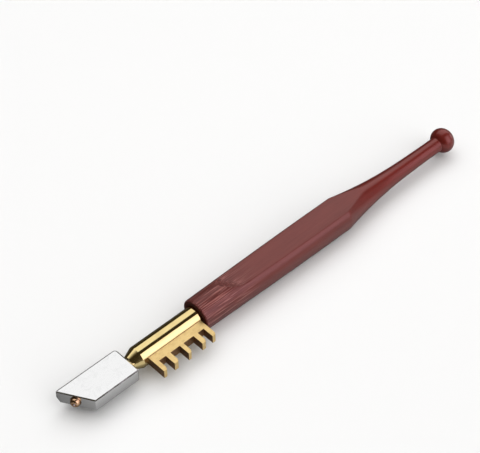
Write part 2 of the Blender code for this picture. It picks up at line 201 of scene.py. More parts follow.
class StageSettings(bpy.types.PropertyGroup):
    floor_size: length("Side of the floor", 6.0)
    floor_colour: colour("Pale floor", (0.86, 0.86, 0.86))
    azimuth: angle("Camera's azimuth round the tool", -42.40)
    elevation: angle("Camera's height above the horizon", 46.38)
    roll: angle("Camera's roll", -1.10)
    aim: FloatVectorProperty(
        name="Point that the camera looks at", default=(-0.00734, 0.01977, AXIS.z), size=3,
        subtype="TRANSLATION", unit="LENGTH",
    )
    distance: length("Distance from the camera to its aim", 0.56545)
    lens: FloatProperty(name="Focal length in millimetres", default=120.8, min=1.0)
    far_panel: FloatProperty(name="Brightness of the far softbox", default=1.06)
    near_panel: FloatProperty(name="Brightness of the near softbox", default=1.65)
    fill_power: FloatProperty(name="Power of the overhead fill in watts", default=6.2)


class CutterSettings(bpy.types.PropertyGroup):
    handle: PointerProperty(type=HandleSettings, name="Handle")
    brass: PointerProperty(type=BrassSettings, name="Brass")
    head: PointerProperty(type=HeadSettings, name="Head")
    works: PointerProperty(type=WorksSettings, name="Inner works")
    stage: PointerProperty(type=StageSettings, name="Stage")


# ---- shared tools


def add_node(tree, kind, inputs=None, **settings):
    """Adds a node, links each input given as a socket or a list of sockets and sets the others."""
    made = tree.nodes.new(kind)
    for key, value in settings.items():
        setattr(made, key, value)
    for key, value in (inputs or {}).items():
        if isinstance(value, (bpy.types.NodeSocket, list)):
            for source in value if isinstance(value, list) else [value]:
                tree.links.new(source, made.inputs[key])
        else:
            made.inputs[key].default_value = value
    return made


def level(tree, value, low, high, to_low, to_high, interpolation="LINEAR"):
    inputs = {"Value": value, 1: low, 2: high, 3: to_low, 4: to_high}
    return add_node(tree, "ShaderNodeMapRange", inputs, interpolation_type=interpolation).outputs["Result"]


def maths(tree, operation, first, second):
    return add_node(tree, "ShaderNodeMath", {0: first, 1: second}, operation=operation).outputs[0]


def mix(tree, share, first, second):
    inputs = {0: share, MIX_A: first, MIX_B: second}
    return add_node(tree, "ShaderNodeMix", inputs, data_type="RGBA").outputs[MIX_RESULT]


class Finish:
    """A Principled material whose patterns change its colour, roughness and relief one by one."""

    def __init__(self, name, base, roughness, metallic=0.0, **uniform):
        self.material = bpy.data.materials.new(name)
        self.material.use_nodes = True
        self.tree = self.material.node_tree
        self.shader = self.tree.nodes["Principled BSDF"]
        self.colour = (*base, 1.0)
        self.set("Base Color", self.colour)
        self.set("Roughness", roughness)
        self.set("Metallic", metallic)
        for key, value in uniform.items():
            self.set(key.replace("_", " ").title().replace("Ior", "IOR"), value)
        self.place = add_node(self.tree, "ShaderNodeTexCoord").outputs["Object"]
        self.normal = None

    def set(self, socket, value):
        if isinstance(value, bpy.types.NodeSocket):
            self.tree.links.new(value, self.shader.inputs[socket])
        else:
            self.shader.inputs[socket].default_value = value

    def grain(self, along, across, detail=2.0, distortion=0.0, offset=0.0):
        """Noise whose features are so long along the tool and so wide across it, in metres."""
        scale = (1.0 / along, 1.0 / across, 1.0 / across)
        mapping = add_node(
            self.tree, "ShaderNodeMapping", {"Vector": self.place, "Scale": scale, "Location": (offset,) * 3}
        )
        inputs = {"Vector": mapping.outputs["Vector"], "Scale": 1.0, "Detail": detail}
        inputs["Distortion"] = distortion
        return add_node(self.tree, "ShaderNodeTexNoise", inputs).outputs["Fac"]

    def along(self, start, end):
        """Rises from 0 to 1 between two stations."""
        parts = add_node(self.tree, "ShaderNodeSeparateXYZ", {"Vector": self.place})
        return self.level(parts.outputs["X"], AXIS.x + start, AXIS.x + end, 0.0, 1.0, "SMOOTHSTEP")

    def level(self, *values):
        return level(self.tree, *values)

    def maths(self, operation, first, second):
        return maths(self.tree, operation, first, second)

    def blend(self, share, colour):
        """Moves the colour that share of the way towards another one."""
        self.colour = mix(self.tree, share, self.colour, (*colour, 1.0))
        self.set("Base Color", self.colour)

    def tone(self, pattern, low, high, share, colour):
        """Blends another colour in where a pattern rises from low to high."""
        self.blend(self.level(pattern, low, high, 0.0, share), colour)

    def dull(self, pattern, low, high, least, most):
        """Raises the roughness from least to most where a pattern rises from low to high."""
        self.set("Roughness", self.level(pattern, low, high, least, most))

    def relief(self, height, depth):
        """Bump of that depth in metres, on top of any that came before."""
        inputs = {"Height": height, "Distance": depth, "Strength": 1.0}
        if self.normal is not None:
            inputs["Normal"] = self.normal
        self.normal = add_node(self.tree, "ShaderNodeBump", inputs).outputs["Normal"]
        self.set("Normal", self.normal)


def darker(colour, share):
    return tuple(share * part for part in colour)


def make_object(name, mesh, material=None):
    obj = bpy.data.objects.new(name, mesh)
    bpy.context.scene.collection.objects.link(obj)
    if material is not None:
        mesh.materials.append(material)
    return obj


def finish_mesh(name, built, sharp_degrees=40.0):
    """Writes a bmesh out with its faces outwards, smooth but for its sharp edges."""
    bmesh.ops.recalc_face_normals(built, faces=built.faces)
    mesh = bpy.data.meshes.new(name)
    built.to_mesh(mesh)
    built.free()
    mesh.shade_smooth()
    mesh.set_sharp_from_angle(angle=math.radians(sharp_degrees))
    return mesh


def bridge(built, rings, closed=False):
    """Faces between rings of vertices. A ring of one vertex is a pole."""
    pairs = list(zip(rings, rings[1:]))
    if closed:
        pairs.append((rings[-1], rings[0]))
    for first, second in pairs:
        count = max(len(first), len(second))
        for step in range(count):
            after = (step + 1) % count
            corners = [first[step % len(first)], first[after % len(first)]]
            corners += [second[after % len(second)], second[step % len(second)]]
            built.faces.new(list(dict.fromkeys(corners)))


def lathe(name, profile, segments, place, closed=False, sharp_degrees=40.0):
    """Turns (station, radius) points about local X, then puts the mesh in its place."""
    built = bmesh.new()
    rings = []
    for station, radius in profile:
        if radius == 0.0:
            rings.append([built.verts.new(place @ Vector((station, 0.0, 0.0)))])
            continue
        ring = []
        for step in range(segments):
            turn = 2.0 * math.pi * step / segments
            point = Vector((station, radius * math.cos(turn), radius * math.sin(turn)))
            ring.append(built.verts.new(place @ point))
        rings.append(ring)
    bridge(built, rings, closed)
    return finish_mesh(name, built, sharp_degrees)


def arc(centre, radius, start, end, steps):
    points = []
    for step in range(steps + 1):
        turn = start + (end - start) * step / steps
        points.append((centre[0] + radius * math.cos(turn), centre[1] + radius * math.sin(turn)))
    return points


def ease_corners(points, reaches, steps=6):
    """A closed outline with each corner turned into a curve that starts and ends that far from it."""
    eased = []
    for index, (corner, reach) in enumerate(zip(points, reaches)):
        corner = Vector(corner)
        back = (Vector(points[index - 1]) - corner).normalized() * reach
        onward = (Vector(points[(index + 1) % len(points)]) - corner).normalized() * reach
        for step in range(steps + 1):
            share = step / steps
            eased.append(tuple(corner + back * (1.0 - share) ** 2 + onward * share ** 2))
    return eased


def tool_frame():
    """Local X along the tool's axis, with its origin at the back of the head."""
    return Matrix.Translation(AXIS)


class ShapeTree:
    """A Geometry Nodes tree with named inputs after its geometry."""

    def __init__(self, name, **inputs):
        self.tree = bpy.data.node_groups.new(name, "GeometryNodeTree")
        sockets = self.tree.interface
        sockets.new_socket("Geometry", in_out="INPUT", socket_type="NodeSocketGeometry")
        for label, kind in inputs.items():
            label = label.replace("_", " ")
            sockets.new_socket(label, in_out="INPUT", socket_type="NodeSocket" + kind)
        sockets.new_socket("Geometry", in_out="OUTPUT", socket_type="NodeSocketGeometry")
        self.given = add_node(self.tree, "NodeGroupInput").outputs

    def add(self, kind, inputs, **settings):
        """Adds a geometry node and gives its first output."""
        return add_node(self.tree, "GeometryNode" + kind, inputs, **settings).outputs[0]

    def end(self, geometry):
        """Ends the tree: smooth shading, instances made real, material set."""
        smooth = self.add("SetShadeSmooth", {"Geometry": geometry})
        real = self.add("RealizeInstances", {"Geometry": smooth})
        painted = self.add("SetMaterial", {"Geometry": real, "Material": self.given["Material"]})
        add_node(self.tree, "NodeGroupOutput", {"Geometry": painted})
        return self.tree


def run_tree(obj, tree, values):
    """Puts a tree on an object, with its inputs set by their identifiers."""
    modifier = obj.modifiers.new(tree.name, "NODES")
    modifier.node_group = tree
    for socket in tree.interface.items_tree:
        if socket.in_out == "INPUT" and socket.name in values:
            modifier[socket.identifier] = values[socket.name]


def soften(obj, width, segments, degrees):
    """Rounds an object's sharp edges."""
    bevel = obj.modifiers.new("Softened edges", "BEVEL")
    bevel.width = width
    bevel.segments = segments
    bevel.limit_method = "ANGLE"
    bevel.angle_limit = math.radians(degrees)
    bevel.use_clamp_overlap = True


def weigh_normals(obj, keep_sharp=False):
    """Keeps an object's flat faces flat in reflections."""
    weighted = obj.modifiers.new("Flat faces stay flat", "WEIGHTED_NORMAL")
    weighted.mode = "FACE_AREA"
    weighted.keep_sharp = keep_sharp


def cut(obj, cutter):
    boolean = obj.modifiers.new("Cut " + cutter.name, "BOOLEAN")
    boolean.operation = "DIFFERENCE"
    boolean.solver = "EXACT"
    boolean.object = cutter
    cutter.hide_render = True
    return cutter


def settle(obj):
    """Turns what an object's modifiers make into its own plain mesh."""
    graph = bpy.context.evaluated_depsgraph_get()
    mesh = bpy.data.meshes.new_from_object(
        obj.evaluated_get(graph), preserve_all_data_layers=True, depsgraph=graph
    )
    if not mesh.polygons:
        raise RuntimeError(obj.name + " came out empty")
    obj.modifiers.clear()
    obj.data = mesh


def hand_over(obj, body, slot, *nodes):
    """Fixes a finished piece to its body and hides the model's parts that it replaces."""
    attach(obj, body)
    if nodes:
        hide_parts(*nodes)


# ---- finishes


def stained_wood(size):
    """Varnished hardwood: long dark pores, fine grain, raised ridges near the ferrule, with painted
    highlight on the ridges' crests.
    """
    wood = Finish(
        "stained_wood", size.grip_stain, 0.42, coat_weight=0.60, coat_roughness=0.18,
        specular_ior_level=0.80, specular_tint=(1.0, 0.27, 0.23, 1.0),
    )
    slim = wood.along(size.shoulder_station, size.shoulder_station + 16.0 * MM)
    front = wood.along(size.flat_start + 12.0 * MM, size.flat_start - 8.0 * MM)
    figure = wood.grain(24.0 * MM, 1.5 * MM, distortion=0.5)
    fibre = wood.grain(7.0 * MM, 0.17 * MM, distortion=0.1)
    ridges = wood.grain(11.0 * MM, 0.26 * MM, detail=1.5, offset=4.0)
    pores = wood.level(wood.grain(2.6 * MM, 0.12 * MM, detail=1.0, offset=11.0), 0.64, 0.74, 0.0, 1.0)
    crest_highlights = wood.level(ridges, 0.54, 0.62, 0.0, 0.75)
    furrows = wood.level(ridges, 0.50, 0.42, 0.0, 0.85)
    wood.blend(slim, size.stem_stain)
    wood.tone(figure, 0.38, 0.70, 0.30, size.pore)
    wood.tone(fibre, 0.40, 0.78, 0.30, size.pore)
    wood.blend(wood.maths("MULTIPLY", pores, 0.6), size.pore)
    # Painted highlight: the ridges' crests near the ferrule are painted paler.
    wood.blend(wood.maths("MULTIPLY", crest_highlights, front), size.crest_highlight)
    wood.blend(wood.maths("MULTIPLY", furrows, front), size.pore)
    rubbed = wood.level(fibre, 0.3, 0.7, 0.36, 0.46)
    wood.set("Roughness", wood.maths("SUBTRACT", rubbed, wood.level(slim, 0.0, 1.0, 0.0, 0.08)))
    wood.relief(wood.maths("SUBTRACT", fibre, pores), 0.008 * MM)
    wood.relief(wood.maths("MULTIPLY", ridges, wood.level(front, 0.0, 1.0, 0.15, 1.0)), 0.12 * MM)
    wood.set("Coat Normal", wood.normal)
    return wood.material


def bare_end_grain(size):
    """Unvarnished end grain, with its pores cut across."""
    wood = Finish("bare_end_grain", size.end_grain, 0.72, specular_ior_level=0.25)
    pores = wood.grain(0.5 * MM, 0.12 * MM)
    rings = wood.grain(4.0 * MM, 0.8 * MM)
    wood.tone(rings, 0.35, 0.70, 0.4, size.pore)
    wood.tone(pores, 0.55, 0.68, 0.7, size.pore)
    wood.dull(pores, 0.3, 0.7, 0.65, 0.85)
    wood.relief(pores, 0.02 * MM)
    return wood.material


def polished_brass(size):
    """Mirror brass with the last marks of the polishing wheel and faint tarnish."""
    brass = Finish("polished_brass", size.polished, 0.07, 1.0)
    cloud = brass.grain(5.0 * MM, 2.4 * MM, detail=3.0)
    brass.tone(cloud, 0.45, 0.78, 0.35, size.tarnish)
    brass.tone(brass.grain(0.35 * MM, 0.35 * MM), 0.66, 0.74, 0.35, size.tarnish)
    brass.dull(cloud, 0.3, 0.75, 0.05, 0.13)
    brass.relief(brass.grain(0.07 * MM, 5.0 * MM), 0.0006 * MM)
    brass.relief(cloud, 0.02 * MM)
    return brass.material


def cast_brass(size):
    """Cast brass with a fine sandy skin, filed across the teeth."""
    brass = Finish("cast_brass", size.cast, 0.32, 1.0)
    sand = brass.grain(0.16 * MM, 0.16 * MM, detail=4.0)
    patch = brass.grain(1.3 * MM, 1.0 * MM, detail=3.0)
    brass.tone(patch, 0.48, 0.75, 0.40, size.cast_dark)
    brass.tone(sand, 0.62, 0.72, 0.5, size.cast_dark)
    brass.dull(patch, 0.3, 0.75, 0.27, 0.42)
    brass.relief(patch, 0.03 * MM)
    brass.relief(brass.grain(0.10 * MM, 1.4 * MM), 0.006 * MM)
    brass.relief(sand, 0.012 * MM)
    return brass.material


def shaded_brass(size):
    """Painted shade: a darker brass for the comb's faces that point along the tool and for its notch roots,
    with coarse marks and patchy skin.
    """
    brass = Finish("shaded_brass", size.shaded, 0.46, 1.0)
    marks = brass.grain(1.2 * MM, 0.11 * MM)
    skin = brass.grain(0.5 * MM, 0.5 * MM, detail=3.0, offset=2.0)
    brass.tone(skin, 0.40, 0.65, 0.8, darker(size.shaded, 0.45))
    brass.dull(marks, 0.3, 0.7, 0.38, 0.56)
    brass.relief(marks, 0.012 * MM)
    return brass.material


def solder(size):
    metal = Finish("brass_solder", size.solder, 0.33, 1.0)
    lumps = metal.grain(0.4 * MM, 0.3 * MM, detail=3.0)
    metal.tone(lumps, 0.4, 0.7, 0.6, size.cast_dark)
    metal.dull(lumps, 0.3, 0.7, 0.25, 0.45)
    metal.relief(lumps, 0.015 * MM)
    return metal.material


def bright_plate(size):
    """Bright plate over ground steel: fine grinding lines, handling marks, slight orange peel."""
    plate = Finish("bright_plate", size.plate, 0.14, 1.0)
    handled = plate.grain(3.0 * MM, 2.2 * MM, detail=4.0, distortion=0.8)
    plate.tone(handled, 0.52, 0.72, 0.16, darker(size.plate, 0.72))
    plate.dull(handled, 0.3, 0.75, 0.10, 0.24)
    plate.relief(plate.grain(6.0 * MM, 0.07 * MM), 0.0012 * MM)
    plate.relief(plate.grain(0.09 * MM, 4.0 * MM, offset=5.0), 0.0008 * MM)
    plate.relief(plate.grain(0.7 * MM, 0.7 * MM), 0.004 * MM)
    return plate.material


def stud_copper(size):
    copper = Finish("stud_copper", size.copper, 0.16, 1.0)
    cloud = copper.grain(0.7 * MM, 0.7 * MM, detail=3.0)
    copper.tone(cloud, 0.45, 0.75, 0.6, darker(size.copper, 0.45))
    copper.dull(cloud, 0.3, 0.7, 0.12, 0.30)
    copper.relief(copper.grain(0.12 * MM, 0.12 * MM, detail=3.0), 0.004 * MM)
    return copper.material


def diamond_crystal(size):
    crystal = Finish("diamond_crystal", size.crystal, 0.06, 0.0, transmission_weight=1.0, ior=2.42)
    growth = crystal.grain(0.09 * MM, 0.09 * MM)
    crystal.dull(growth, 0.4, 0.7, 0.03, 0.16)
    crystal.relief(growth, 0.006 * MM)
    return crystal.material


def turned_metal(name, base, roughness):
    """A turned surface: fine rings round the tool's axis."""
    metal = Finish(name, base, roughness, 1.0)
    oil = metal.grain(1.5 * MM, 1.1 * MM, detail=3.0)
    metal.tone(oil, 0.4, 0.75, 0.7, darker(base, 0.6))
    metal.dull(oil, 0.3, 0.7, roughness - 0.08, roughness + 0.1)
    metal.relief(metal.grain(0.06 * MM, 6.0 * MM), 0.004 * MM)
    return metal.material


# ---- handle


def taper_points(size, steps):
    """The flowing curve from the grip's shoulder down to the neck."""
    shoulder, neck = size.shoulder_station, size.neck_station
    reach = neck - shoulder
    drop = size.fullest_radius - size.neck_radius
    # The curve's four control points, as shares of the reach along and of the drop still to come
    shares = ((0.0, 1.0), (0.3367, 0.1768), (0.5510, 0.0053), (1.0, 0.0))
    controls = [Vector((shoulder + along * reach, size.neck_radius + left * drop)) for along, left in shares]
    points = []
    for step in range(1, steps + 1):
        share = step / steps
        back = 1.0 - share
        weights = (back ** 3, 3.0 * back * back * share, 3.0 * back * share * share, share ** 3)
        points.append(tuple(sum((w * c for w, c in zip(weights, controls)), Vector((0.0, 0.0)))))
    return points


def handle_profile(size):
    """(station, radius) of the turned outline, from its front edge to the ball's pole."""
    start = station_of(HANDLE_LOW.x)
    front, rounding = size.front_radius, size.front_round
    grip_start = start + rounding
    grip_step, taper_rings, ball_rings = 0.5 * MM, 72, 36
    swell = 1.5
    profile = arc((grip_start, front - rounding), rounding, math.pi, math.pi / 2.0, 10)
    rings = round((size.shoulder_station - grip_start) / grip_step)
    for step in range(1, rings + 1):
        station = grip_start + (size.shoulder_station - grip_start) * step / rings
        reach = max(0.0, size.fullest_station - station) / (size.fullest_station - grip_start)
        hollow = (size.fullest_radius - front) * reach ** swell
        profile.append((station, size.fullest_radius - hollow))
    profile += taper_points(size, taper_rings)
    ball_station = station_of(HANDLE_HIGH.x) - size.ball_half_length
    flattening = size.ball_half_length / size.ball_radius
    meeting = math.pi - math.asin(size.neck_radius / size.ball_radius)
    for x, radius in arc((0.0, 0.0), size.ball_radius, meeting, 0.0, ball_rings)[:-1]:
        profile.append((ball_station + x * flattening, radius))
    profile.append((ball_station + size.ball_half_length, 0.0))
    return profile


def flat_height(size, station, y):
    """Height of the planed surface above the axis, with its curved and skewed run-out."""
    depth = AXIS.z
    ahead = size.flat_start - size.skew * y - station
    if ahead <= 0.0:
        return depth
    if ahead >= size.run_out:
        return depth + size.run_out
    return depth + size.run_out - math.sqrt(size.run_out ** 2 - ahead ** 2)


def flat_edges(size, station, radius):
    """Angles from +Z, positive towards -Y, where the flat starts and ends on the round bar.

    Away from the flat they open up, so that the mesh stays even there."""
    scan, steps = math.radians(70.0), 140
    least_half, parting = math.radians(7.0), 1.8 * MM
    inside = []
    nearest = (math.inf, 0.0)
    before = None
    for step in range(-steps, steps + 1):
        turn = scan * step / steps
        spare = flat_height(size, station, -radius * math.sin(turn)) - radius * math.cos(turn)
        nearest = min(nearest, (spare, turn))
        if before is not None and (before[0] < 0.0) != (spare < 0.0):
            share = before[0] / (before[0] - spare)
            inside.append(before[1] + (turn - before[1]) * share)
        before = (spare, turn)
    if len(inside) < 2:
        inside = [nearest[1], nearest[1]]
    centre = (inside[0] + inside[-1]) / 2.0
    half = max((inside[-1] - inside[0]) / 2.0, least_half)
    open_up = min(1.0, max(0.0, nearest[0]) / parting)
    open_up = open_up * open_up * (3.0 - 2.0 * open_up)
    centre *= 1.0 - open_up
    half += (math.pi / 4.0 - half) * open_up
    return centre - half, centre + half


def spread(start, end, count, crowding=0.45):
    """Angles from start up to, but without, end, closer together near both."""
    angles = []
    for step in range(count):
        share = step / count
        eased = (1.0 - math.cos(math.pi * share)) / 2.0
        angles.append(start + (end - start) * (share + (eased - share) * crowding))
    return angles


def softer_of(first, second, width):
    """The smaller of two numbers, rounded over where they meet."""
    near = max(width - abs(first - second), 0.0) / width
    return min(first, second) - near * near * width / 4.0


def section(size, station, radius):
    """One ring round the handle: round sides, planed flats on top and underneath."""
    left, right = flat_edges(size, station, radius)
    flat_cells, side_cells = 34, 42
    wave_length, wave_depth = 9.0 * MM, 0.02 * MM
    angles = spread(left, right, flat_cells)
    angles += spread(right, math.pi - right, side_cells)
    angles += spread(math.pi - right, math.pi - left, flat_cells)
    angles += spread(math.pi - left, 2.0 * math.pi + left, side_cells)
    points = []
    for turn in angles:
        upright = abs(math.cos(turn))
        reach = radius
        if upright > 0.1:
            guess = min(radius, flat_height(size, station, -radius * math.sin(turn)) / upright)
            plane = flat_height(size, station, -guess * math.sin(turn))
            wave = noise.noise(Vector((station / wave_length, turn * 1.5, 3.0)))
            plane -= wave_depth * (0.5 + 0.5 * wave)
            reach = softer_of(radius, plane / upright, size.edge)
        points.append(AXIS + Vector((station, -reach * math.sin(turn), reach * math.cos(turn))))
    return points


def ring_like(points, station, radius):
    """A round ring whose points stand at the same angles as another ring's."""
    ring = []
    for point in points:
        out = Vector((0.0, point.y - AXIS.y, point.z - AXIS.z)).normalized() * radius
        ring.append(AXIS + Vector((station, out.y, out.z)))
    return ring


def handle_mesh(size):
    profile = handle_profile(size)
    outside = [section(size, station, radius) for station, radius in profile[:-1]]
    start = profile[0][0]
    bore, chamfer, mouth = size.bore_radius, 0.15 * MM, 8.0 * MM
    inside = [(size.bore_station, bore), (size.bore_station - chamfer, bore)]
    inside += [(start + mouth, bore), (start + chamfer, bore), (start, bore + chamfer)]
    rows = [[AXIS + Vector((size.bore_station, 0.0, 0.0))]]
    rows += [ring_like(outside[0], station, radius) for station, radius in inside]
    rows += outside
    rows.append([AXIS + Vector((profile[-1][0], 0.0, 0.0))])
    built = bmesh.new()
    bridge(built, [[built.verts.new(point) for point in row] for row in rows])
    return finish_mesh("turned_handle", built, sharp_degrees=50.0)


class GLASSCUTTER_OT_handle(bpy.types.Operator):
    """Turn the wooden handle with its two planed flats and its ball end"""

    bl_idname = "glasscutter.handle"
    bl_label = "Turned Handle"

    def execute(self, context):
        size = context.scene.glass_cutter.handle
        handle = make_object("turned_handle", handle_mesh(size), stained_wood(size))
        handle.data.materials.append(bare_end_grain(size))
        varnish_starts = HANDLE_LOW.x + 0.12 * size.front_round
        bore_edge = size.bore_radius + 0.16 * MM
        for face in handle.data.polygons:
            out = math.hypot(face.center.y - AXIS.y, face.center.z - AXIS.z)
            if out < bore_edge or face.center.x < varnish_starts:
                face.material_index = int(face.center.x < AXIS.x + size.bore_station + MM)
        hand_over(handle, "grip", "stained_hardwood", "handle")
        return {"FINISHED"}


# ---- brass


class GLASSCUTTER_OT_ferrule(bpy.types.Operator):
    """Turn the polished ferrule tube with its nose cone"""

    bl_idname = "glasscutter.ferrule"
    bl_label = "Polished Ferrule"

    def execute(self, context):
        size = context.scene.glass_cutter.brass
        start, end = station_of(TUBE_LOW.x), station_of(TUBE_HIGH.x)
        outer, wall = TUBE_HIGH.y, TUBE_HIGH.y - size.tube_bore
        corners = [(start, size.nose_bore), (start, size.nose_radius), (size.cone_end, outer)]
        corners += [(end, outer), (end, size.tube_bore)]
        corners += [(size.cone_end + wall, size.tube_bore), (start + 2.0 * wall, size.nose_bore)]
        reaches = [0.08 * MM, 0.12 * MM, 0.22 * MM, 0.12 * MM, 0.08 * MM, 0.3 * MM, 0.2 * MM]
        profile = ease_corners(corners, reaches)
        mesh = lathe("polished_ferrule", profile, 144, tool_frame(), closed=True, sharp_degrees=60.0)
        tube = make_object("polished_ferrule", mesh, polished_brass(size))
        weigh_normals(tube)
        settle(tube)
        hand_over(tube, "grip", "polished_brass", "ferrule_tube")
        return {"FINISHED"}


def comb_outline(size):
    """The comb's outline with a tooth before, between and after its four notches."""
    teeth = (1.7 * MM, 2.0 * MM, 1.6 * MM, 1.9 * MM, 1.7 * MM)
    notches = (2.9 * MM, 4.1 * MM, 4.4 * MM, 2.6 * MM)
    chamfer_run, chamfer_rise = 0.45 * MM, 0.9 * MM
    x = COMB_LOW.x
    points = [(x, -size.comb_inner)]
    for index, width in enumerate(teeth):
        points.append((x, COMB_LOW.y))
        points.append((x + width - chamfer_run, COMB_LOW.y))
        points.append((x + width, COMB_LOW.y + chamfer_rise))
        x += width
        if index < len(notches):
            points.append((x, -size.comb_root))
            x += notches[index]
            points.append((x, -size.comb_root))
    points.append((x, -size.comb_inner))
    return points


def comb_tree():
    """Outline to plate: corners rounded, thickness given, hollowed to sit on the tube."""
    plate = ShapeTree(
        "Comb Plate", Thickness="Float", Corner_Radius="Float", Saddle_Radius="Float", Saddle_Axis="Vector",
        Base="Vector", Material="Material",
    )
    given = plate.given
    curve = plate.add("MeshToCurve", {"Mesh": given["Geometry"]})
    corners = {"Curve": curve, "Count": 4, "Radius": given["Corner Radius"], "Limit Radius": True}
    rounded = plate.add("FilletCurve", corners, mode="POLY")
    face = plate.add("FillCurve", {"Curve": rounded}, mode="NGONS")
    lift = {"Mesh": face, "Offset": (0.0, 0.0, 1.0), "Offset Scale": given["Thickness"], "Individual": False}
    walls = plate.add("ExtrudeMesh", lift, mode="FACES")
    base = plate.add("FlipFaces", {"Mesh": face})
    both = plate.add("JoinGeometry", {"Geometry": [walls, base]})
    whole = plate.add("MergeByDistance", {"Geometry": both, "Distance": 1e-6})
    raised = plate.add("Transform", {"Geometry": whole, "Translation": given["Base"]})
    bar = {"Vertices": 160, "Radius": given["Saddle Radius"], "Depth": 80.0 * MM}
    lying = plate.add(
        "Transform",
        {
            "Geometry": plate.add("MeshCylinder", bar), "Translation": given["Saddle Axis"],
            "Rotation": (0.0, math.pi / 2.0, 0.0),
        },
    )
    saddle = {"Mesh 1": raised, "Mesh 2": lying}
    return plate.end(plate.add("MeshBoolean", saddle, operation="DIFFERENCE", solver="EXACT"))


def bead_tree():
    """Path to solder bead: an uneven round bead that follows the path."""
    bead = ShapeTree("Solder Bead", Bead_Radius="Float", Unevenness="Float", Seed="Int", Material="Material")
    given = bead.given
    path = bead.add("MeshToCurve", {"Mesh": given["Geometry"]})
    fine = bead.add("ResampleCurve", {"Curve": path, "Length": 0.22 * MM}, mode="LENGTH")
    pattern = {"W": given["Seed"], "Scale": 900.0, "Detail": 2.0}
    lumps = add_node(bead.tree, "ShaderNodeTexNoise", pattern, noise_dimensions="4D").outputs["Color"]
    centring = {0: lumps, 1: (0.5, 0.5, 0.5)}
    centred = add_node(bead.tree, "ShaderNodeVectorMath", centring, operation="SUBTRACT").outputs[0]
    reach = {0: centred, "Scale": given["Unevenness"]}
    wander = add_node(bead.tree, "ShaderNodeVectorMath", reach, operation="SCALE").outputs[0]
    uneven = bead.add("SetPosition", {"Geometry": fine, "Offset": wander})
    around = bead.add("CurvePrimitiveCircle", {"Resolution": 12, "Radius": given["Bead Radius"]})
    return bead.end(bead.add("CurveToMesh", {"Curve": uneven, "Profile Curve": around, "Fill Caps": True}))


def edge_loop(name, points, closed):
    """A mesh of edges alone, which a tree reads as a path."""
    mesh = bpy.data.meshes.new(name)
    count = len(points)
    edges = [(i, i + 1) for i in range(count - 1)]
    if closed:
        edges.append((count - 1, 0))
    mesh.from_pydata(points, edges, [])
    return mesh


class GLASSCUTTER_OT_comb(bpy.types.Operator):
    """File the breaking comb and solder it to the ferrule"""

    bl_idname = "glasscutter.comb"
    bl_label = "Breaking Comb"

    def execute(self, context):
        size = context.scene.glass_cutter.brass
        outline = [(x, y, 0.0) for x, y in comb_outline(size)]
        comb = make_object("filed_comb", edge_loop("filed_comb", outline, True))
        skin = cast_brass(size)
        run_tree(
            comb, comb_tree(),
            {
                "Thickness": COMB_HIGH.z - COMB_LOW.z, "Corner Radius": size.corner,
                "Saddle Radius": size.saddle_radius, "Saddle Axis": tuple(AXIS),
                "Base": (0.0, 0.0, COMB_LOW.z), "Material": skin,
            },
        )
        soften(comb, size.break_edge, segments=3, degrees=50.0)
        weigh_normals(comb)
        settle(comb)
        comb.data.materials.clear()
        for material in (skin, shaded_brass(size)):
            comb.data.materials.append(material)
        # Painted shade: faces that point along the tool and the notches' roots take the darker shaded brass.
        squarely, tips = 0.8, COMB_LOW.y + 2.0 * MM
        for face in comb.data.polygons:
            wall = abs(face.normal.x) > squarely
            root = face.normal.y < -squarely and face.center.y > tips
            face.material_index = int(wall or root)
        hand_over(comb, "grip", "cast_brass", "breaker_comb")
        self.solder_comb(size)
        return {"FINISHED"}

    def solder_comb(self, size):
        """One bead along the seam on top of the comb and one underneath."""
        material = solder(size)
        tree = bead_tree()
        for name, z in (("solder_bead_top", COMB_HIGH.z), ("solder_bead_under", COMB_LOW.z)):
            y = -math.sqrt(TUBE_HIGH.y ** 2 - (z - AXIS.z) ** 2) - 0.3 * size.bead
            inset = 0.3 * MM
            ends = [(COMB_LOW.x + inset, y, z), (COMB_HIGH.x - inset, y, z)]
            bead = make_object(name, edge_loop(name, ends, False))
            values = {"Bead Radius": size.bead, "Unevenness": size.bead_unevenness}
            run_tree(bead, tree, {**values, "Seed": size.seed, "Material": material})
            settle(bead)
            hand_over(bead, "grip", "cast_brass")


# ---- head


def round_corner(before, corner, after, radius, steps=10):
    """The arc that rounds one convex corner of an outline that runs counter-clockwise."""
    corner = Vector(corner)
    back = (Vector(before) - corner).normalized()
    onward = (Vector(after) - corner).normalized()
    half = back.angle(onward) / 2.0
    centre = corner + (back + onward).normalized() * (radius / math.sin(half))
    first = corner + back * (radius / math.tan(half)) - centre
    last = corner + onward * (radius / math.tan(half)) - centre
    start, end = math.atan2(first.y, first.x), math.atan2(last.y, last.x)
    if end < start:
        end += 2.0 * math.pi
    return arc(centre, radius, start, end, steps)


def head_corners(size):
    """Toe, heel of the sole, then the two back corners, in plan."""
    return [
        (HEAD_LOW.x, HEAD_HIGH.y), (HEAD_HIGH.x - size.short_side, HEAD_LOW.y),
        (HEAD_HIGH.x, HEAD_LOW.y), (HEAD_HIGH.x, HEAD_HIGH.y),
    ]


def head_outline(size, inset):
    """The rounded plan of the head, drawn in by a little on every side."""
    corners = head_corners(size)
    directions = []
    for index, corner in enumerate(corners):
        directions.append((Vector(corners[(index + 1) % 4]) - Vector(corner)).normalized())
    drawn_in = []
    for index, corner in enumerate(corners):
        before, after = directions[index - 1], directions[index]
        inward = Vector((-before.y, before.x)) + Vector((-after.y, after.x))
        share = inset / (1.0 + before.dot(after))
        drawn_in.append(Vector(corner) + inward * share)
    outline = []
    roundings, least = (0.4 * MM, 0.5 * MM, 0.6 * MM, 1.2 * MM), 0.1 * MM
    for index, radius in enumerate(roundings):
        ends = (drawn_in[index - 1], drawn_in[index], drawn_in[(index + 1) % 4])
        outline += round_corner(*ends, max(radius - inset, least))
    return outline


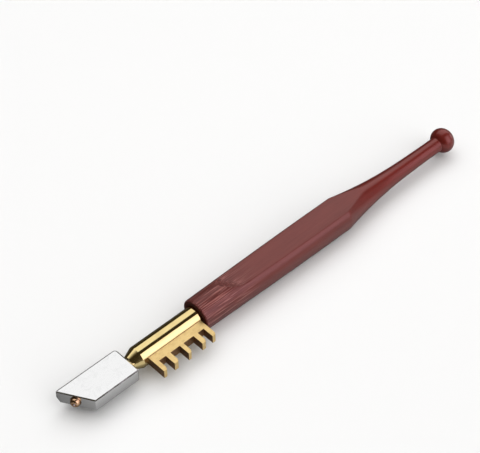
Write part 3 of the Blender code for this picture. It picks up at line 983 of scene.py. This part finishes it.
def head_prism(size):
    """The head's plan raised to its thickness, with its edges stoned to a narrow slant."""
    steepness = 0.53
    edge = [(size.edge_bevel, 0.0), (0.0, steepness * size.edge_bevel)]
    levels = [(inset, HEAD_LOW.z + rise) for inset, rise in edge]
    levels += [(inset, HEAD_HIGH.z - rise) for inset, rise in reversed(edge)]
    built = bmesh.new()
    rings = []
    for inset, z in levels:
        rings.append([built.verts.new((x, y, z)) for x, y in head_outline(size, inset)])
    bridge(built, rings)
    built.faces.new(rings[0])
    built.faces.new(rings[-1])
    return finish_mesh("plated_head", built, sharp_degrees=22.0)


def sole_frame(size):
    """Local +X along the sole's outward normal, with its origin at the sole's centre."""
    toe, heel = (Vector((*corner, AXIS.z)) for corner in head_corners(size)[:2])
    along = toe - heel
    normal = math.atan2(along.x, -along.y)
    return Matrix.Translation((toe + heel) / 2.0) @ Matrix.Rotation(normal, 4, "Z")


def toe_relief(size):
    """A block with one face on the slanting plane that takes off the toe's bottom corner."""
    (toe_x, toe_y), (heel_x, heel_y) = head_corners(size)[:2]
    toe = Vector((toe_x, toe_y, HEAD_LOW.z))
    along_sole = Vector((heel_x - toe_x, heel_y - toe_y, 0.0)).normalized()
    top = toe + Vector((0.0, 0.0, size.relief_rise))
    on_sole = toe + along_sole * size.relief_run
    on_side = toe + Vector((size.relief_run, 0.0, 0.0))
    normal = (on_side - top).cross(on_sole - top).normalized()
    if normal.z > 0.0:
        normal.negate()
    side = 10.0 * MM
    middle = Matrix.Translation(top + normal * side / 2.0)
    built = bmesh.new()
    bmesh.ops.create_cube(built, size=side)
    turn = normal.to_track_quat("Z", "Y").to_matrix().to_4x4()
    bmesh.ops.transform(built, matrix=middle @ turn, verts=built.verts)
    return make_object("toe_relief", finish_mesh("toe_relief", built))


def drill(name, depth, radius, place):
    """A cutter for a bore along local X whose mouth, at the origin, is countersunk a little."""
    sink, beyond = 0.14 * MM, 1.0 * MM
    profile = [(-depth, 0.0), (-depth, radius), (-sink, radius), (0.0, radius + sink)]
    profile += [(beyond, radius + sink), (beyond, 0.0)]
    return make_object(name, lathe(name, profile, 72, place))


class GLASSCUTTER_OT_head(bpy.types.Operator):
    """Grind and plate the swivelling head"""

    bl_idname = "glasscutter.head"
    bl_label = "Plated Head"

    def execute(self, context):
        size = context.scene.glass_cutter.head
        head = make_object("plated_head", head_prism(size), bright_plate(size))
        cutters = [cut(head, toe_relief(size))]
        gap = 0.1 * MM
        downwards = Matrix.Translation(((PIN_LOW.x + PIN_HIGH.x) / 2.0, 0.0, HEAD_LOW.z))
        downwards = downwards @ Matrix.Rotation(math.pi / 2.0, 4, "Y")
        pin_bore = (PIN_HIGH.x - PIN_LOW.x) / 2.0 + gap
        bores = (
            ("stem_bore", size.stem_bore_depth, size.stem_bore, tool_frame()),
            ("stud_bore", size.stud_shank + gap, size.stud_radius + gap, sole_frame(size)),
            ("pin_bore", AXIS.z - HEAD_LOW.z, pin_bore, downwards),
        )
        cutters += [cut(head, drill(*bore)) for bore in bores]
        weigh_normals(head, keep_sharp=True)
        settle(head)
        for cutter in cutters:
            bpy.data.objects.remove(cutter)
        hand_over(head, "head", "chrome_plate", "head_block")
        return {"FINISHED"}


class GLASSCUTTER_OT_diamond(bpy.types.Operator):
    """Turn the copper stud and set the diamond in it"""

    bl_idname = "glasscutter.diamond"
    bl_label = "Stud and Diamond"

    def execute(self, context):
        size = context.scene.glass_cutter.head
        place = sole_frame(size)
        lip = size.socket_radius + 0.1 * MM
        crown = 1.1 * MM
        foot, ease = -size.stud_shank, 0.1 * MM
        profile = [(foot, 0.0), (foot, size.stud_radius - ease), (ease + foot, size.stud_radius)]
        steps = 18
        for step in range(steps + 1):
            turn = math.pi / 2.0 * step / steps
            radius = lip + (size.stud_radius - lip) * math.cos(turn)
            profile.append((size.stud_proud - crown * (1.0 - math.sin(turn)), radius))
        seat = size.stud_proud - size.socket_depth
        lip_drop, lip_ease = 0.06 * MM, 0.02 * MM
        profile.append((size.stud_proud - lip_drop, size.socket_radius + lip_ease))
        profile += [(seat, size.socket_radius), (seat, 0.0)]
        mesh = lathe("copper_stud", profile, 96, place, sharp_degrees=50.0)
        stud = make_object("copper_stud", mesh, stud_copper(size))
        hand_over(stud, "head", "copper_alloy", "diamond_setting")
        clearance = 0.1 * MM
        low = seat + clearance
        points = [(low, 0.0), (low + size.diamond_length / 2.0, size.diamond_radius)]
        points.append((low + size.diamond_length, 0.0))
        diamond = make_object("set_diamond", lathe("set_diamond", points, 4, place), diamond_crystal(size))
        soften(diamond, width=0.03 * MM, segments=2, degrees=30.0)
        settle(diamond)
        hand_over(diamond, "head", "diamond_crystal", "diamond")
        return {"FINISHED"}


# ---- inner works


def thread_tree():
    """A helical ridge of that pitch and length round the tool's axis."""
    thread = ShapeTree(
        "Stem Thread", Turns="Float", Radius="Float", Length="Float", Ridge="Float", Start="Vector",
        Material="Material",
    )
    given = thread.given
    helix = thread.add(
        "CurveSpiral",
        {
            "Resolution": 32, "Rotations": given["Turns"], "Start Radius": given["Radius"],
            "End Radius": given["Radius"], "Height": given["Length"],
        },
    )
    ridge = thread.add("CurvePrimitiveCircle", {"Resolution": 4, "Radius": given["Ridge"]})
    wound = thread.add("CurveToMesh", {"Curve": helix, "Profile Curve": ridge, "Fill Caps": True})
    along_tool = {"Geometry": wound, "Translation": given["Start"], "Rotation": (0.0, math.pi / 2.0, 0.0)}
    return thread.end(thread.add("Transform", along_tool))


class GLASSCUTTER_OT_works(bpy.types.Operator):
    """Finish the swivel's inner pieces and cut the stem's thread"""

    bl_idname = "glasscutter.works"
    bl_label = "Inner Works"

    def execute(self, context):
        size = context.scene.glass_cutter.works
        steel = turned_metal("turned_steel", size.steel, 0.3)
        bronze = turned_metal("turned_bronze", size.bronze, 0.34)
        finishes = {
            "swivel_bush": bronze, "stop_collar": bronze, "stop_pin": steel, "stem_lock_pin": steel,
            "swivel_stem": steel, "spring_washer": steel, "retaining_nut": steel,
        }
        for node, material in finishes.items():
            mesh = frame["nodes"][node].data
            mesh.materials.clear()
            mesh.materials.append(material)
        tail = station_of(STEM_END) - size.stem_shoulder
        inset = 0.25 * MM
        thread = make_object("stem_thread", bpy.data.meshes.new("stem_thread"))
        run_tree(
            thread, thread_tree(),
            {
                "Turns": (tail - 2.0 * inset) / size.thread_pitch, "Radius": size.stem_tail_radius,
                "Length": tail - 2.0 * inset, "Ridge": size.thread_height,
                "Start": tuple(AXIS + Vector((size.stem_shoulder + inset, 0.0, 0.0))), "Material": steel,
            },
        )
        settle(thread)
        hand_over(thread, "head", "plain_steel")
        return {"FINISHED"}


# ---- stage


def studio_world(size):
    """Two long softboxes along the tool, one beyond it and one on the near side, dark elsewhere.

    A direction's turn is its angle about the X axis: 0 towards +Y, 90 overhead, 180 towards -Y."""
    world = bpy.data.worlds.new("studio")
    bpy.context.scene.world = world
    world.use_nodes = True
    tree = world.node_tree
    tree.nodes.clear()
    direction = add_node(tree, "ShaderNodeTexCoord").outputs["Generated"]
    parts = add_node(tree, "ShaderNodeSeparateXYZ", {"Vector": direction}).outputs
    turn, along = maths(tree, "ARCTAN2", parts["Z"], parts["Y"]), parts["X"]

    def step(value, low, high):
        return level(tree, value, low, high, 0.0, 1.0, "SMOOTHSTEP")

    def times(first, second):
        return maths(tree, "MULTIPLY", first, second)

    def window(low, high, soft):
        rise = step(turn, math.radians(low - soft), math.radians(low + soft))
        fall = step(turn, math.radians(high + soft), math.radians(high - soft))
        return times(rise, fall)

    far = times(window(*FAR_PANEL), step(along, *FAR_START))
    core = times(window(*NEAR_CORE), CORE_EXTRA)
    gap = times(step(along, *GAP_START), step(along, *GAP_END))
    near = times(window(*NEAR_PANEL), maths(tree, "ADD", core, 1.0))
    near = times(near, step(along, *NEAR_START))
    near = times(near, maths(tree, "SUBTRACT", 1.0, gap))
    panels = maths(tree, "ADD", times(far, size.far_panel), times(near, size.near_panel))
    light = maths(tree, "ADD", panels, ROOM)
    rays = add_node(tree, "ShaderNodeLightPath").outputs
    seen, mirrored = rays["Is Camera Ray"], rays["Is Glossy Ray"]
    white, rose, amber = (1.0, 1.0, 1.0, 1.0), (1.0, 0.90, 1.0, 1.0), (1.0, 0.80, 0.48, 1.0)
    warm = times(step(light, 0.3, 0.05), maths(tree, "SUBTRACT", 1.0, seen))
    tint = mix(tree, warm, mix(tree, times(near, mirrored), white, rose), amber)
    strength = add_node(tree, "ShaderNodeMix", {0: seen, 2: light, 3: BACKDROP}, data_type="FLOAT")
    shader = add_node(tree, "ShaderNodeBackground", {"Color": tint, "Strength": strength.outputs[0]})
    add_node(tree, "ShaderNodeOutputWorld", {"Surface": shader.outputs[0]})


def floor_material(size):
    """Matt pale paper. Polished metal sees a painted reflection instead: a darker grey, darkest towards +Y.
    """
    material = bpy.data.materials.new("pale_floor")
    material.use_nodes = True
    tree = material.node_tree
    tree.nodes.clear()
    glossy = add_node(tree, "ShaderNodeLightPath").outputs["Is Glossy Ray"]
    pale = add_node(tree, "ShaderNodeBsdfDiffuse", {"Color": (*size.floor_colour, 1.0)})
    spot = add_node(tree, "ShaderNodeTexCoord").outputs["Object"]
    across = add_node(tree, "ShaderNodeSeparateXYZ", {"Vector": spot}).outputs["Y"]
    # Painted reflection: the grey that glossy rays see runs from 0.58 down to 0.06 across the tool, darkest
    # towards +Y.
    share = level(tree, across, -20.0 * MM, 20.0 * MM, 0.0, 1.0)
    ramp = add_node(tree, "ShaderNodeValToRGB", {"Fac": share})
    shades = ramp.color_ramp.elements
    for middle in (0.30, 0.60):
        shades.new(middle)
    for shade, (place, grey) in zip(shades, ((0.16, 0.58), (0.30, 0.34), (0.60, 0.22), (0.72, 0.06))):
        shade.position, shade.color = place, (grey, grey, grey, 1.0)
    painted_reflection = add_node(tree, "ShaderNodeBsdfDiffuse", {"Color": ramp.outputs["Color"]})
    mixed = add_node(tree, "ShaderNodeMixShader", {0: glossy, 1: pale.outputs[0], 2: painted_reflection.outputs[0]})
    add_node(tree, "ShaderNodeOutputMaterial", {"Surface": mixed.outputs[0]})
    return material


class GLASSCUTTER_OT_stage(bpy.types.Operator):
    """Lay the floor, light the studio and place the camera"""

    bl_idname = "glasscutter.stage"
    bl_label = "Studio Stage"

    def execute(self, context):
        size = context.scene.glass_cutter.stage
        context.scene.view_settings.view_transform = "Standard"
        built = bmesh.new()
        bmesh.ops.create_grid(built, x_segments=8, y_segments=8, size=size.floor_size / 2.0)
        bmesh.ops.translate(built, verts=built.verts, vec=(0.0, 0.0, CAD_LOW.z))
        floor = make_object("floor", finish_mesh("floor", built), floor_material(size))
        studio_world(size)
        self.add_fill(context, size)
        self.add_camera(context, size)
        return {"FINISHED"}

    def add_fill(self, context, size):
        """A wide overhead fill that brightens matt surfaces and leaves no reflection."""
        light = bpy.data.lights.new("overhead_fill", "AREA")
        light.shape = "RECTANGLE"
        light.size, light.size_y = 1.6, 1.2
        light.energy = size.fill_power
        fill = bpy.data.objects.new("overhead_fill", light)
        context.scene.collection.objects.link(fill)
        fill.location = (0.1, 0.05, 0.7)
        fill.visible_glossy = False
        fill.visible_camera = False

    def add_camera(self, context, size):
        azimuth, elevation, roll = size.azimuth, size.elevation, size.roll
        out = math.cos(elevation)
        back = Vector((math.sin(azimuth) * out, -math.cos(azimuth) * out, math.sin(elevation)))
        across = Vector((math.cos(azimuth), math.sin(azimuth), 0.0))
        up = back.cross(across)
        right = across * math.cos(roll) + up * math.sin(roll)
        top = up * math.cos(roll) - across * math.sin(roll)
        data = bpy.data.cameras.new("studio_camera")
        data.lens = size.lens
        data.sensor_width = 36.0
        data.clip_start = 0.01
        data.clip_end = 50.0
        camera = bpy.data.objects.new("studio_camera", data)
        context.scene.collection.objects.link(camera)
        turned = Matrix((right, top, back)).transposed().to_4x4()
        camera.matrix_world = Matrix.Translation(Vector(size.aim) + back * size.distance) @ turned
        context.scene.camera = camera


# ---- add-on


class GLASSCUTTER_PT_sidebar(bpy.types.Panel):
    """Lists the cutter's pieces in the 3D view's sidebar"""

    bl_idname = "GLASSCUTTER_PT_sidebar"
    bl_label = "Glass Cutter"
    bl_space_type = "VIEW_3D"
    bl_region_type = "UI"
    bl_category = "Glass Cutter"

    def draw(self, context):
        settings = context.scene.glass_cutter
        groups = (
            (settings.handle, (GLASSCUTTER_OT_handle,)),
            (settings.brass, (GLASSCUTTER_OT_ferrule, GLASSCUTTER_OT_comb)),
            (settings.head, (GLASSCUTTER_OT_head, GLASSCUTTER_OT_diamond)),
            (settings.works, (GLASSCUTTER_OT_works,)),
            (settings.stage, (GLASSCUTTER_OT_stage,)),
        )
        for group, operators in groups:
            box = self.layout.box()
            for name in group.__annotations__:
                box.prop(group, name)
            for operator in operators:
                box.operator(operator.bl_idname)


GROUPS = (HandleSettings, BrassSettings, HeadSettings, WorksSettings, StageSettings, CutterSettings)
OPERATORS = (
    GLASSCUTTER_OT_handle, GLASSCUTTER_OT_ferrule, GLASSCUTTER_OT_comb, GLASSCUTTER_OT_head,
    GLASSCUTTER_OT_diamond, GLASSCUTTER_OT_works, GLASSCUTTER_OT_stage,
)


def register():
    for cls in (*GROUPS, *OPERATORS, GLASSCUTTER_PT_sidebar):
        bpy.utils.register_class(cls)
    bpy.types.Scene.glass_cutter = PointerProperty(type=CutterSettings)


def unregister():
    del bpy.types.Scene.glass_cutter
    for cls in reversed((*GROUPS, *OPERATORS, GLASSCUTTER_PT_sidebar)):
        bpy.utils.unregister_class(cls)


def main():
    register()
    bpy.ops.glasscutter.handle()
    bpy.ops.glasscutter.ferrule()
    bpy.ops.glasscutter.comb()
    bpy.ops.glasscutter.head()
    bpy.ops.glasscutter.diamond()
    bpy.ops.glasscutter.works()
    bpy.ops.glasscutter.stage()


if __name__ == "__main__":
    main()
